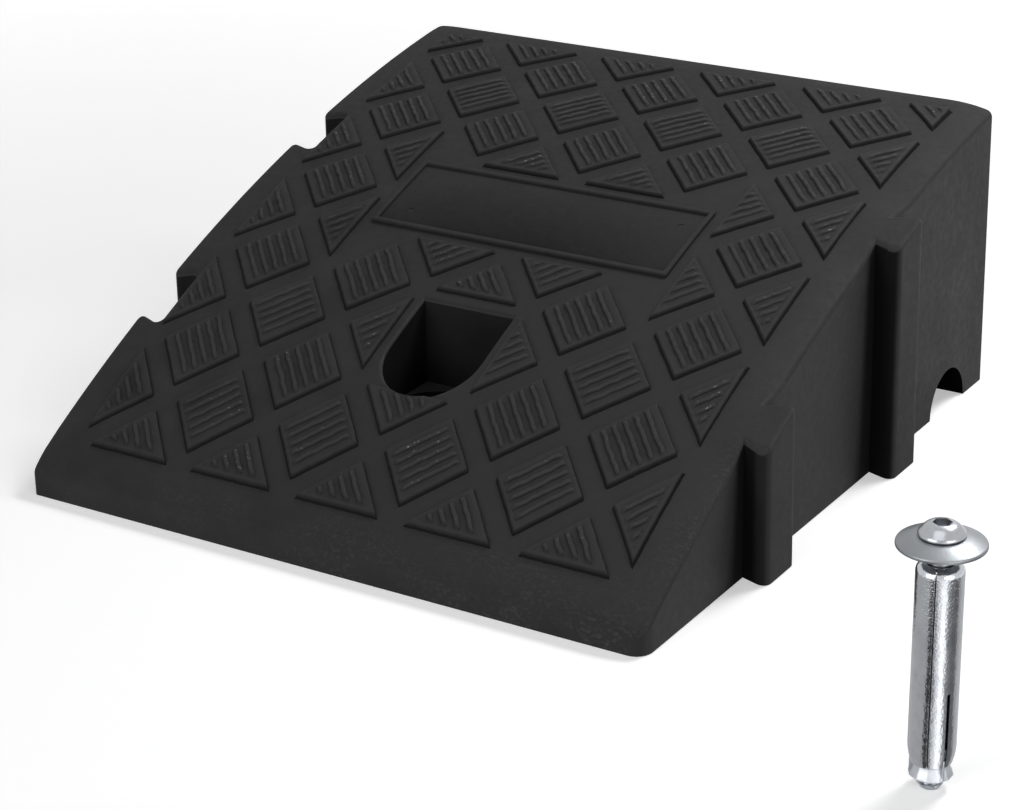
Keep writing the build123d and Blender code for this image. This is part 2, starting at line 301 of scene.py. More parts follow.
def cut_across(bm, direction, places, left_whole=()):
    """Cuts a mesh at several places along one direction, except for the faces that are left whole."""
    along = Vector(direction)
    for place in places:
        geom = [part for part in everything(bm) if part not in left_whole]
        bmesh.ops.bisect_plane(bm, geom=geom, dist=near, plane_co=along * place, plane_no=along)


def in_pocket(vert):
    return abs(vert.co.x) < pocket_radius + near and abs(vert.co.y) < pocket_back + near


def top_rim(edge):
    """An edge between the flat top and an upright wall."""
    tilts = [abs(face.normal.z) for face in edge.link_faces]
    return min(v.co.z for v in edge.verts) > near and max(tilts) > edge_turn > min(tilts)


def clamped(value):
    """The value, held between 0 and 1."""
    return min(1, max(0, value))


def forward(y):
    """0 at the kerb, 1 at the front lip."""
    return (back_y - y) / (back_y - front_y)


def crown(y):
    """Height of the drive-up face, a shallow arc from the front lip to the kerb."""
    run, rise = back_y - front_y, kerb_height - lip_height
    chord = hypot(run, rise)
    radius = (chord**2 / 4 + crown_rise**2) / (2 * crown_rise)
    drop = radius - crown_rise
    centre_y = (front_y + back_y) / 2 + drop * rise / chord
    centre_z = (lip_height + kerb_height) / 2 - drop * run / chord
    return centre_z + sqrt(radius**2 - (y - centre_y) ** 2)


def border_fall(x, y):
    """How far the face falls away softly at its borders, except where a tongue carries it on."""
    beside_tongue = min(abs(y - tongue_y) for tongue_y in tongue_ys) - tongue_neck / 2
    worn_fall = right_fall * clamped(beside_tongue / soft_width) * (1 + front_wear * forward(y))
    borders = [
        (half_width - x, worn_fall, right_width),
        (half_width + x, left_fall, soft_width),
        (y - front_y, front_fall, soft_width),
        (back_y - y, back_fall, soft_width),
    ]
    return sum(fall * clamped(1 - gap / width) ** 2 for gap, fall, width in borders)


bmesh.ops.translate(ramp, verts=extruded(ramp, ramp.faces[:]), vec=(0, 0, kerb_height))
bmesh.ops.delete(
    ramp, geom=[f for f in ramp.faces if max(v.co.z for v in f.verts) < near], context="FACES_ONLY"
)
bmesh.ops.recalc_face_normals(ramp, faces=ramp.faces)
outer_rim = [e for e in ramp.edges if top_rim(e) and not all(in_pocket(v) for v in e.verts)]
round_edges(ramp, outer_rim, edge_round, edge_steps)
pocket_rim = [e for e in ramp.edges if top_rim(e) and all(in_pocket(v) for v in e.verts)]
round_edges(ramp, pocket_rim, pocket_edge, pocket_edge_steps)
cut_across(ramp, (0, 1, 0), [front_y + station * i for i in range(1, int((back_y - front_y) / station))])
cut_across(ramp, (0, 1, 0), [front_y + gap for gap in end_stations] + [back_y - gap for gap in end_stations])
cut_across(ramp, (0, 1, 0), [y - tongue_neck / 2 - gap for y in tongue_ys for gap in root_stations])
cut_across(ramp, (1, 0, 0), side_stations + [-x for x in side_stations])
for v in ramp.verts:
    if v.co.z > near:
        v.co.z += crown(v.co.y) - kerb_height - border_fall(v.co.x, v.co.y)
        v.co.x *= 1 - side_draft * v.co.z / kerb_height
    elif in_pocket(v):
        v.co.z = ledge_height

# Ledge and round recess of the pocket, then the flat underside
recess_start = min(ramp.verts, key=lambda v: (v.co - Vector((pocket_radius, 0, ledge_height))).length)
bmesh.ops.spin(
    ramp, geom=[recess_start], cent=(0, 0, 0), axis=(0, 0, 1), angle=pi, steps=2 * pocket_steps,
    use_merge=False,
)
bmesh.ops.remove_doubles(ramp, verts=ramp.verts, dist=near)
mouth_edges = [e for e in ramp.edges if e.is_boundary and min(v.co.z for v in e.verts) > near]
arc_edges = [e for e in ramp.edges if e.is_wire]
behind = [e for e in mouth_edges if min(v.co.y for v in e.verts) > -near]
ahead = [e for e in mouth_edges if max(v.co.y for v in e.verts) < near]
bmesh.ops.contextual_create(ramp, geom=behind + arc_edges)
recess = bmesh.ops.contextual_create(ramp, geom=ahead + arc_edges)["faces"]
sunk_verts = extruded(ramp, recess)
bmesh.ops.delete(ramp, geom=recess, context="FACES_ONLY")
bmesh.ops.translate(ramp, verts=sunk_verts, vec=(0, 0, floor_height - ledge_height))
bmesh.ops.contextual_create(ramp, geom=[e for e in ramp.edges if e.is_boundary])
bmesh.ops.recalc_face_normals(ramp, faces=ramp.faces)


# Anchor hole, drain channel and the square cores under the ramp
def carved(bm, tools):
    """What is left of one closed mesh after the closed shapes in another are taken away."""
    blanks = []
    for shape in (bm, tools):
        mesh = bpy.data.meshes.new("blank")
        shape.to_mesh(mesh)
        shape.free()
        blanks.append(bpy.data.objects.new("blank", mesh))
        scene.collection.objects.link(blanks[-1])
    cut = blanks[0].modifiers.new("cut", "BOOLEAN")
    cut.operation, cut.solver, cut.object = "DIFFERENCE", "EXACT", blanks[1]
    depsgraph = bpy.context.evaluated_depsgraph_get()
    left_over = bpy.data.meshes.new_from_object(blanks[0].evaluated_get(depsgraph))
    result = bmesh.new()
    result.from_mesh(left_over)
    for blank in blanks:
        bpy.data.objects.remove(blank)
    bpy.data.meshes.remove(left_over)
    return result


below = 0.001  # the tools reach this far past the faces that they cut
tools = bmesh.new()
hole_height = floor_height + 2 * below
bmesh.ops.create_cone(
    tools, cap_ends=True, segments=48, radius1=hole_radius, radius2=hole_radius, depth=hole_height,
    matrix=Matrix.Translation((0, 0, hole_height / 2 - below)),
)
channel_y = back_y - channel_from_back
bmesh.ops.create_cone(
    tools, cap_ends=True, segments=64, radius1=channel_radius, radius2=channel_radius, depth=4 * half_width,
    matrix=Matrix.Translation((0, channel_y, 0)) @ Matrix.Rotation(pi / 2, 4, "Y"),
)
core_pitch = core_size + core_rib
core_corner = core_size / sqrt(2)
last_core_y = channel_y - channel_radius - core_wall - core_size / 2
for column in range(core_columns):
    for row in range(core_rows):
        x = (column - (core_columns - 1) / 2) * core_pitch
        y = last_core_y - row * core_pitch
        beside_pocket = abs(x) > pocket_radius + core_wall + core_size / 2
        behind_pocket = y > pocket_back + core_wall + core_size / 2
        height = crown(y - core_size / 2) - core_roof
        if (beside_pocket or behind_pocket) and height > core_size / 2:
            place = Matrix.Translation((x, y, (height - below) / 2)) @ Matrix.Rotation(pi / 4, 4, "Z")
            bmesh.ops.create_cone(
                tools, cap_ends=True, segments=4, radius1=core_corner,
                radius2=core_corner - core_draft * height, depth=height + below, matrix=place,
            )
ramp = carved(ramp, tools)

# The recesses are painted near black with painted shade, on a second material without shine. The outer walls
# are painted paler with painted light, and the rounded rims above them and round the pocket get painted
# highlights
shaded_depth, shaded_inset = 0.005, 0.002
pocket_back_shade, recess_shade, channel_shade = -0.45, -0.85, -1.5
wall_painted_light, lip_painted_light, edge_painted_highlight, rim_painted_highlight = 0.82, 0.15, 0.45, 0.9
light_shade_layer = ramp.faces.layers.float.new("painted_light_and_shade")
for face in ramp.faces:
    middle = face.calc_center_median()
    inset = min(half_width - abs(middle.x), middle.y - front_y, back_y - middle.y)
    ledge = face.normal.z > square_on and abs(middle.z - ledge_height) < near
    on_tongue = middle.x > half_width
    # Faces in the recesses: painted shade, darkest in the channel, on the material without shine
    if inset > shaded_inset and middle.z < crown(middle.y) - shaded_depth and not ledge:
        face.material_index = 1
        face[light_shade_layer] = pocket_back_shade if face.normal.y < -square_on else recess_shade
        if abs(middle.y - channel_y) < channel_radius and middle.z < channel_radius:
            face[light_shade_layer] = channel_shade
    # Painted light on the outer walls and the front lip, painted highlights on the rims of the tongues, the
    # pocket and the right edge
    elif abs(face.normal.z) < wall_tilt:
        face[light_shade_layer] = lip_painted_light if middle.y < front_y + edge_round else wall_painted_light
    elif on_tongue and (face.normal.x > edge_turn or face.normal.y < -square_on):
        face[light_shade_layer] = rim_painted_highlight
    elif all(in_pocket(v) for v in face.verts) and face.normal.z < nearly_level:
        face[light_shade_layer] = rim_painted_highlight
    elif face.normal.x > edge_turn:
        face[light_shade_layer] = edge_painted_highlight

# Painted shade darkens the corners in front of the tongues, wider towards the road, and their front flanks;
# painted light makes the right wall paler towards the front
root_shade, tongue_flank_shade, back_flank_shade, front_painted_light = 4.0, 1.5, 0.5, 0.7
shade_reach, flank_start, flank_span = 0.015, 0.3, 0.6
right_wall = half_width * (1 - 2 * side_draft)
shade_and_grime = ramp.verts.layers.float.new("painted_side_shade")
for v in ramp.verts:
    walls = [face.normal for face in v.link_faces if abs(face.normal.z) < wall_tilt]
    # Painted shade on the front flanks of the tongues, deeper on the back tongue
    if v.co.x > half_width + near and walls:
        facing_front = -sum(normal.y for normal in walls) / len(walls)
        towards_back = (v.co.y - tongue_ys[0]) / (tongue_ys[1] - tongue_ys[0])
        deepest = tongue_flank_shade + back_flank_shade * towards_back
        v[shade_and_grime] = deepest * clamped((facing_front - flank_start) / flank_span)
    # Painted shade at the tongue roots; painted light that grows towards the front of the right wall
    elif v.co.x > right_wall and max(face.normal.z for face in v.link_faces) < wall_tilt:
        from_root = min(abs(tongue_y - tongue_neck / 2 - v.co.y) for tongue_y in tongue_ys)
        reach = shade_reach * (2 - v.co.z / crown(v.co.y))
        v[shade_and_grime] = root_shade * clamped(1 - from_root / reach) ** 2 - front_painted_light * forward(v.co.y)

# The right edge of the drive-up face, the tops of the tongues and the front lip are scuffed
scuff_width, lip_scuff_width, scuff_tilt = 0.012, 0.020, 0.3
back_scuffs, tongue_scuffs, tongue_level = 0.3, 0.3, 0.8
lip_scuffs, lip_scuff_lean = 0.5, 1 / 3
scuff = ramp.verts.layers.float.new("scuffed")
for v in ramp.verts:
    least_tilt = min(face.normal.z for face in v.link_faces)
    if least_tilt > scuff_tilt or v.co.y < front_y + near:
        on_edge = clamped(1 - (half_width - v.co.x) / scuff_width) * max(back_scuffs, forward(v.co.y))
        if v.co.x > half_width and least_tilt > tongue_level:
            on_edge *= tongue_scuffs
        on_lip = clamped(1 - (v.co.y - front_y) / lip_scuff_width)
        v[scuff] = max(on_edge, on_lip * (lip_scuffs + lip_scuff_lean * v.co.x / half_width))


def add_object(name, bm, material):
    """Puts a finished mesh into the scene."""
    mesh = bpy.data.meshes.new(name)
    bm.to_mesh(mesh)
    bm.free()
    mesh.materials.append(material)
    new_object = bpy.data.objects.new(name, mesh)
    scene.collection.objects.link(new_object)
    return new_object


def add_piece(name, bm, material, body, sharp=radians(32)):
    """Makes a finished mesh into a piece that moves with one body of the frame."""
    for face in bm.faces:
        face.smooth = True
    for edge in bm.edges:
        edge.smooth = edge.calc_face_angle(0) < sharp
    piece = add_object(name, bm, material)
    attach(piece, body)
    return piece


def even_shading(piece):
    """Lets the large faces set the shading, so that flat areas look flat and rims look round."""
    modifier = piece.modifiers.new("even_normals", "WEIGHTED_NORMAL")
    modifier.keep_sharp = True


ramp_piece = add_piece("ramp_moulding", ramp, rubber("moulded_rubber", specks=0.0), "ramp")
# Second material, without shine, for the recess faces painted with shade
ramp_piece.data.materials.append(rubber("painted_shade_rubber", specks=0.0, shine=0.0))
even_shading(ramp_piece)
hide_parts("ramp_body")


# Tread: rows of raised diamonds with ribs across them, moulded in one with the body. The field is
# cut off straight at its borders and round the name plate and the pocket.
tiles_across, tile_rows = 5, 12
tread_margin, tile_gap = 0.0135, 0.0055
tile_height, tile_root, tile_draft = 0.0015, 0.0008, 0.03
tile_round, tile_round_steps, tile_corner = 0.0006, 3, 0.5
tile_skirt, tile_apron = 0.00025, 0.0020
rib_height, rib_pitch, ribs_per_tile = 0.0010, 0.0038, 5
rib_border, rib_fade = 0.0016, 0.0012
rib_half, rib_edge, rib_section = 0.21, 0.16, (-0.29, -0.21, -0.12, 0.12, 0.21, 0.29)
field_border, field_fade, field_sink = 0.0008, 0.0010, 0.0002
rib_waver, rib_unevenness, wall_waver = 0.10, 0.38, 0.00015
waves_per_metre, wall_waves_per_metre, height_waves = 330, 450, 1.7
rib_shift, column_shift, row_shift = 7.3, 17, 5  # give every rib a waver of its own
bends_per_pitch, bend_reach = 3, 9
# Painted shade at the tile feet and on the rib flanks, painted highlight on the tile rims
foot_shade, rib_flank_shade, tile_rim_highlight = 1.15, 1.15, 0.9
plate_row, plate_tiles, pocket_row, pocket_tiles = 6, 3, 3, 1
rim_width = 0.0015
tile_pitch = 2 * (half_width - tread_margin) / tiles_across
row_pitch = tile_pitch / 2
first_row_y = front_y + tile_pitch / 4
last_row_y = first_row_y + (tile_rows - 1) * row_pitch
field_half = tiles_across * tile_pitch / 2
tile_half = Vector((tile_pitch / 2 - tile_gap, row_pitch - tile_gap))
rib_lean = atan2(tile_half.y, tile_half.x)
interruptions = [(plate_row, plate_tiles * tile_pitch / 2), (pocket_row, pocket_tiles * tile_pitch / 2)]


def tile_cuts(row, x, y):
    """Planes that cut a tile, each a point and the side to take away, or None for no tile at all."""
    cuts = [((side * field_half, 0, 0), (side, 0, 0)) for side in (-1, 1)]
    cuts += [((0, first_row_y, 0), (0, -1, 0)), ((0, last_row_y, 0), (0, 1, 0))]
    for middle_row, half_span in interruptions:
        rows_off = row - middle_row
        if abs(rows_off) > 1 or abs(x) > half_span + near:
            continue
        if abs(x) > half_span - near:
            cuts.append(((x, 0, 0), (-x, 0, 0)))
        elif rows_off == 0:
            return None
        else:
            cuts.append(((0, y, 0), (0, -rows_off, 0)))
    return cuts


def outward_planes(face):
    """A point on each edge of a flat outline, and the direction out of it."""
    centre = face.calc_center_median()
    planes = []
    for edge in face.edges:
        start, end = (v.co for v in edge.verts)
        outward = (end - start).cross(Vector((0, 0, 1))).normalized()
        if outward.dot(start - centre) < 0:
            outward.negate()
        planes.append((start.copy(), outward))
    return planes


def soft_edges(bm):
    """The corners of a raised shape, without those at its sunk root."""
    return [e for e in bm.edges if max(v.co.z for v in e.verts) > 0 and e.calc_face_angle(0) > tile_corner]


def raise_tile(bm, height):
    """Gives a flat outline its sunk root, its sloping walls, its rounded edges and its soft foot."""
    centre = sum((v.co for v in bm.verts), Vector()) / len(bm.verts)
    top_verts = extruded(bm, bm.faces[:])
    bmesh.ops.scale(
        bm, verts=top_verts, vec=(1 - tile_draft, 1 - tile_draft, 1), space=Matrix.Translation(-centre)
    )
    bmesh.ops.translate(bm, verts=bm.verts, vec=(0, 0, -tile_root))
    bmesh.ops.translate(bm, verts=top_verts, vec=(0, 0, tile_root + height))
    bmesh.ops.recalc_face_normals(bm, faces=bm.faces)
    round_edges(bm, soft_edges(bm), tile_round, tile_round_steps)
    cut_across(bm, (0, 0, 1), [tile_skirt, height / 2])
    light_shade_layer = bm.verts.layers.float["painted_light_and_shade"]
    for v in bm.verts:
        # Painted shade: the walls grow darker towards their foot
        v[light_shade_layer] = -foot_shade * clamped(1 - v.co.z / height)
        if v.co.z < 0:
            v.co.xy += (v.co.xy - centre.xy).normalized() * tile_apron


def press_ribs(bm, planes, x, y, lean):
    """Works the ribs into the top of a tile as soft, slightly wavering ridges that end at its border."""
    turn = Matrix.Rotation(lean, 3, "Z")
    along, across = turn @ Vector((1, 0, 0)), turn @ Vector((0, 1, 0))
    middle = Vector((x, y, 0))
    last_rib = (ribs_per_tile - 1) // 2
    ribs = range(-last_rib, last_rib + 1)
    bends = range(-bend_reach, bend_reach + 1)
    root = [face for face in bm.faces if face.normal.z < -square_on]
    rib_edges = [across.dot(middle) + rib_pitch * (rib + edge) for rib in ribs for edge in rib_section]
    cut_across(bm, across, rib_edges, root)
    cut_across(bm, along, [along.dot(middle) + rib_pitch * i / bends_per_pitch for i in bends], root)
    light_shade_layer = bm.verts.layers.float["painted_light_and_shade"]
    for v in bm.verts:
        room, outward = min((outward.dot(point - v.co), tuple(outward)) for point, outward in planes)
        if room < rib_border:
            v.co += Vector(outward) * wall_waver * noise.noise(v.co * wall_waves_per_metre)
        if v.co.z < tile_height - near:
            continue
        lane = across.dot(v.co - middle) / rib_pitch
        rib = min(last_rib, max(-last_rib, round(lane)))
        own_waver = rib_shift * rib + column_shift * x / tile_pitch
        spot = Vector((along.dot(v.co) * waves_per_metre, own_waver, row_shift * y / row_pitch))
        inside = clamped((room - rib_border) / rib_fade)
        ridge = inside * clamped((rib_half - abs(lane - rib)) / rib_edge + 0.5)
        v.co += across * (rib_waver * rib_pitch * inside * noise.noise(spot))
        # Painted highlight on the rib crests and round the tile rim, painted shade on the rib flanks
        highlit_tile_rim = tile_rim_highlight * max(0, 1 - room / rib_border)
        v[light_shade_layer] = max(ridge, highlit_tile_rim) - rib_flank_shade * (1 - abs(2 * ridge - 1))
        v.co.z += rib_height * ridge * (1 + rib_unevenness * noise.noise(spot * height_waves))
        v.co.z -= field_sink * clamped((room - field_border) / field_fade)


def lay_on_crown(bm):
    """Lifts a flat-laid mesh onto the drive-up face, and keeps it off the rim of the pocket."""
    rim = pocket_radius + rim_width
    for v in bm.verts:
        reach = v.co.xy.length
        if near < reach < rim and v.co.y < 0:
            v.co.xy *= rim / reach
        v.co.z += crown(v.co.y)


def join_into(target, bm):
    """Adds one mesh to another and frees it."""
    mesh = bpy.data.meshes.new("joint")
    bm.to_mesh(mesh)
    bm.free()
    target.from_mesh(mesh)
    bpy.data.meshes.remove(mesh)


tread = bmesh.new()
tread.verts.layers.float.new("painted_light_and_shade")
for row in range(tile_rows):
    y = first_row_y + row * row_pitch
    count = tiles_across + row % 2
    for column in range(count):
        x = (column - (count - 1) / 2) * tile_pitch
        cuts = tile_cuts(row, x, y)
        if cuts is None:
            continue
        tile = bmesh.new()
        tile.verts.layers.float.new("painted_light_and_shade")
        corners = [(x + tile_half.x, y), (x, y + tile_half.y), (x - tile_half.x, y), (x, y - tile_half.y)]
        tile.faces.new([tile.verts.new((*corner, 0)) for corner in corners])
        for point, away in cuts:
            bmesh.ops.bisect_plane(
                tile, geom=everything(tile), dist=near, plane_co=point, plane_no=away, clear_outer=True
            )
        crossed = row % 2 == 1 and column > 0 and row < tile_rows - 1
        tile.faces.ensure_lookup_table()
        planes = outward_planes(tile.faces[0])
        raise_tile(tile, tile_height)
        press_ribs(tile, planes, x, y, rib_lean if crossed else -rib_lean)
        lay_on_crown(tile)
        join_into(tread, tile)

# Name plate: a bare field inside a narrow raised frame
plate_gap, plate_frame, plate_round, plate_stretch = 0.0045, 0.0020, 0.0005, 0.0015
plate_station, plate_reach = 0.006, 3
plate_width = plate_tiles * tile_pitch - 2 * plate_gap
plate_depth = 2 * row_pitch - 2 * plate_gap + plate_stretch
plate_y = first_row_y + plate_row * row_pitch
plate_stations = [plate_y + plate_station * i for i in range(-plate_reach, plate_reach + 1)]
plate = bmesh.new()
bmesh.ops.create_grid(
    plate, x_segments=1, y_segments=1, size=0.5,
    matrix=Matrix.Translation((0, plate_y, 0)) @ Matrix.Diagonal((plate_width, plate_depth, 1, 1)),
)
bmesh.ops.inset_region(
    plate, faces=plate.faces[:], thickness=plate_frame, use_even_offset=True, use_boundary=True
)
inner_face = min(plate.faces, key=lambda f: (f.calc_center_median() - Vector((0, plate_y, 0))).length)
bmesh.ops.delete(plate, geom=[inner_face], context="FACES")
top_verts = extruded(plate, plate.faces[:])
bmesh.ops.translate(plate, verts=plate.verts, vec=(0, 0, -tile_root))
bmesh.ops.translate(plate, verts=top_verts, vec=(0, 0, tile_root + tile_height))
bmesh.ops.recalc_face_normals(plate, faces=plate.faces)
round_edges(plate, soft_edges(plate), plate_round, tile_round_steps)
cut_across(plate, (0, 1, 0), plate_stations)
light_shade_layer = plate.verts.layers.float.new("painted_light_and_shade")
for v in plate.verts:
    # Painted shade: the frame's walls grow darker towards their foot
    v[light_shade_layer] = -foot_shade * clamped(1 - v.co.z / tile_height)
lay_on_crown(plate)
join_into(tread, plate)

# The bare field inside the frame is smooth, with the small marks of two mould pins. Painted shade darkens
# the field towards the middle of its front edge, and the insides of the pin marks
field_rise, field_shade, field_ends, field_strips = 0.0002, 0.80, 0.45, 10
pin_radius, pin_shade = 0.0012, 1.5
pin_marks = [(-0.0515, 0.0622), (0.0539, 0.0802)]
field = bmesh.new()
bmesh.ops.create_grid(
    field, x_segments=1, y_segments=1, size=0.5,
    matrix=Matrix.Translation((0, plate_y, -tile_root))
    @ Matrix.Diagonal((plate_width - plate_frame, plate_depth - plate_frame, 1, 1)),
)
bmesh.ops.translate(field, verts=extruded(field, field.faces[:]), vec=(0, 0, tile_root + field_rise))
bmesh.ops.recalc_face_normals(field, faces=field.faces)
cut_across(field, (0, 1, 0), plate_stations)
cut_across(field, (1, 0, 0), [plate_width * (i / field_strips - 0.5) for i in range(1, field_strips)])
lay_on_crown(field)
pins = bmesh.new()
for x, y in pin_marks:
    bmesh.ops.create_icosphere(
        pins, subdivisions=2, radius=pin_radius, matrix=Matrix.Translation((x, y, crown(y) + field_rise))
    )
field = carved(field, pins)
light_shade_layer = field.verts.layers.float.new("painted_light_and_shade")
for v in field.verts:
    towards_front = 0.5 + (plate_y - v.co.y) / plate_depth
    from_ends = 1 - (2 * v.co.x / plate_width) ** 2
    # Painted shade over the field, and darker inside the pin marks
    v[light_shade_layer] = -field_shade * towards_front * (field_ends + (1 - field_ends) * from_ends)
    if v.co.z < crown(v.co.y):
        v[light_shade_layer] = -pin_shade
join_into(tread, field)

tread_rubber = rubber("tread_rubber", specks=1.0)
tread_piece = add_piece("ramp_tread", tread, tread_rubber, "ramp", sharp=radians(62))
even_shading(tread_piece)


# Anchor bolt: cold-headed steel screw with a rolled thread, plated with bright zinc. Its low head
# has a hexagon socket, and the cone nut runs on its threaded end.
bolt_low, bolt_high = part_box("anchor_bolt")
washer_low, washer_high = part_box("dished_washer")
axis_x, axis_y = (bolt_low.x + bolt_high.x) / 2, (bolt_low.y + bolt_high.y) / 2
anchor_place = Matrix.Translation((axis_x, axis_y, 0))
head_radius = (bolt_high.x - bolt_low.x) / 2
head_top, head_seat = bolt_high.z, washer_high.z
head_rim, head_flat = 0.0009, 0.61 * head_radius
seat_round, rim_round, head_round = 0.0003, 0.0005, 0.0016
thread_radius, thread_depth, thread_pitch, thread_length = 0.0040, 0.0007, 0.00125, 0.042
thread_slope, thread_crest, cuts_per_turn = 1.35, 0.2, 8
shank_radius, tip_chamfer = 0.00355, 0.0010
socket_width, socket_depth = 0.005, 0.0024
dark_zinc, pale_zinc, smeared_zinc = (0.46, 0.48, 0.52, 1), (0.56, 0.58, 0.61, 1), (0.52, 0.54, 0.56, 1)
shaded_zinc, zinc_grime, zinc_depth = (0.17, 0.18, 0.19, 1), 0.01, 0.0001

zinc_skin, zinc_in = new_skin("zinc_skin", "Roughness", "Painted_shade_level", "Grimy")
zinc_place = add_node(zinc_skin, "TexCoord").outputs["Object"]
bloom = spotted(zinc_skin, zinc_place, scale=260, low=0.35, high=0.70, detail=3)
dimples = spotted(zinc_skin, zinc_place, scale=1400, low=0.35, high=0.75)
smears = spotted(zinc_skin, zinc_place, scale=90, low=0.35, high=0.70, detail=4)
zinc_colour = mixed(zinc_skin, bloom, dark_zinc, pale_zinc)
zinc_colour = mixed(zinc_skin, smears, zinc_colour, smeared_zinc)
# Painted shade: some copies of the plating are darkened towards a dull grey
zinc_colour = mixed(zinc_skin, zinc_in["Painted_shade_level"], zinc_colour, shaded_zinc)
zinc_colour = mixed(zinc_skin, zinc_in["Grimy"], zinc_colour, grey(zinc_grime))
zinc_rough = summed(zinc_skin, (bloom, 0.06), (smears, 0.08), (zinc_in["Roughness"], 1.0))
zinc_height = summed(zinc_skin, (dimples, 0.5), (bloom, 0.5))
close_skin(zinc_skin, zinc_colour, zinc_rough, zinc_height)


def zinc(name, roughness, unevenness, painted_shade_level):
    """Bright zinc plating, smoother or rougher, and darkened by painted shade on some parts."""
    finish = {"Roughness": roughness, "Painted_shade_level": painted_shade_level}
    material, shader, skin = skinned(name, zinc_skin, unevenness, zinc_depth, finish)
    shader.inputs["Metallic"].default_value = 1.0
    tree = material.node_tree
    shade_and_grime = add_node(tree, "Attribute", attribute_name="grimy")
    tree.links.new(shade_and_grime.outputs["Fac"], skin.inputs["Grimy"])
    return material


def turned(outline, roundings=(), steps=64):
    """Ring turned about the Z axis from corners of (radius, height), some of them rounded off."""
    bm = bmesh.new()
    corners = [bm.verts.new((radius, 0, height)) for radius, height in outline]
    bm.faces.new(corners)
    for index, reach in dict(roundings).items():
        bmesh.ops.bevel(
            bm, geom=[corners[index]], affect="VERTICES", offset=reach, segments=5, profile=0.5, material=-1
        )
    bmesh.ops.delete(bm, geom=bm.faces[:], context="FACES_ONLY")
    on_axis = [e for e in bm.edges if max(v.co.x for v in e.verts) < near]
    bmesh.ops.delete(bm, geom=on_axis, context="EDGES")
    bmesh.ops.spin(
        bm, geom=bm.verts[:] + bm.edges[:], cent=(0, 0, 0), axis=(0, 0, 1), angle=tau, steps=steps,
        use_merge=True,
    )
    bmesh.ops.remove_doubles(bm, verts=bm.verts, dist=near / 10)
    bmesh.ops.recalc_face_normals(bm, faces=bm.faces)
    return bm


def thread_cut(height, angle):
    """Depth of the thread groove at one height and angle, fading out at both ends."""
    phase = (height / thread_pitch - angle / tau) % 1
    groove = clamped(thread_slope * abs(2 * phase - 1) - thread_crest)
    run_out = clamped(min((thread_length - height) / thread_pitch, height / tip_chamfer))
    return thread_depth * groove * run_out


bolt = turned(
    [
        (0, 0),
        (thread_radius - tip_chamfer, 0),
        (thread_radius, tip_chamfer),
        (thread_radius, thread_length),
        (shank_radius, thread_length + thread_radius - shank_radius),
        (shank_radius, head_seat),
        (head_radius, head_seat),
        (head_radius, head_seat + head_rim),
        (head_flat, head_top),
        (0, head_top),
    ],
    {6: seat_round, 7: rim_round, 8: head_round},
    steps=40,
)
upright = [
    e for e in bolt.edges
    if abs(e.verts[0].co.z - e.verts[1].co.z) > thread_length / 2
    and max(v.co.z for v in e.verts) < thread_length + near
]
bmesh.ops.subdivide_edges(
    bolt, edges=upright, cuts=int(cuts_per_turn * thread_length / thread_pitch), use_grid_fill=True
)
for v in bolt.verts:
    if v.co.xy.length > thread_radius - near and tip_chamfer - near < v.co.z < thread_length:
        radius = thread_radius - thread_cut(v.co.z, atan2(v.co.y, v.co.x))
        v.co.xy *= radius / v.co.xy.length
socket = bmesh.new()
bmesh.ops.create_cone(
    socket, cap_ends=True, segments=6, radius1=socket_width / sqrt(3), radius2=socket_width / sqrt(3),
    depth=2 * socket_depth, matrix=Matrix.Translation((0, 0, head_top)),
)
bolt = carved(bolt, socket)
bmesh.ops.transform(bolt, matrix=anchor_place, verts=bolt.verts)
bolt_zinc = zinc("zinc_on_bolt", roughness=0.20, unevenness=0.25, painted_shade_level=0.4)
bolt_piece = add_piece("bolt_with_thread", bolt, bolt_zinc, "bolt")
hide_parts("anchor_bolt")


# Dished washer: pressed from sheet steel and zinc plated, flat under the bolt head, with its rim
# turned down so that it bears on the floor of the pocket.
washer_radius = (washer_high.x - washer_low.x) / 2
washer_thickness, washer_flat, washer_hole = 0.0012, 0.0072, 0.0043
hole_round, dish_round, brim_round = 0.0002, 0.0024, 0.0004
washer_under = washer_high.z - washer_thickness
washer = turned(
    [
        (washer_hole, washer_under),
        (washer_hole, washer_high.z),
        (washer_flat, washer_high.z),
        (washer_radius, washer_low.z + washer_thickness),
        (washer_radius, washer_low.z),
        (washer_flat, washer_under),
    ],
    {0: hole_round, 1: hole_round, 2: dish_round, 3: brim_round, 4: brim_round, 5: dish_round},
    steps=96,
)
bmesh.ops.transform(washer, matrix=anchor_place, verts=washer.verts)
washer_zinc = zinc("zinc_on_washer", roughness=0.34, unevenness=0.3, painted_shade_level=0.85)
washer_piece = add_piece("washer_dish", washer, washer_zinc, "washer")
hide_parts("dished_washer")


# Star washer: a push-on spring retainer of thin steel, whose bent teeth grip the shank under the
# dished washer and keep the anchor together.
star_low, star_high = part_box("star_washer")
star_radius = (star_high.x - star_low.x) / 2
star_thickness = (star_high.z - star_low.z) / 2
star_teeth, star_notch, tooth_drop, notch_depth = 8, 0.0010, 0.0004, 0.9
star_under = star_high.z - star_thickness
star_steps = 4  # of a tooth and its notch
star = turned(
    [
        (shank_radius, star_under),
        (shank_radius, star_high.z),
        (star_radius - star_notch, star_high.z),
        (star_radius, star_high.z),
        (star_radius, star_under),
        (star_radius - star_notch, star_under),
    ],
    steps=star_steps * star_teeth,
)
for v in star.verts:
    step = round(atan2(v.co.y, v.co.x) / tau * star_steps * star_teeth) % star_steps
    if v.co.xy.length > star_radius - star_notch / 2:
        if step < star_steps / 2:
            v.co.z -= tooth_drop
        else:
            v.co.xy *= (star_radius - notch_depth * star_notch) / v.co.xy.length
bmesh.ops.recalc_face_normals(star, faces=star.faces)
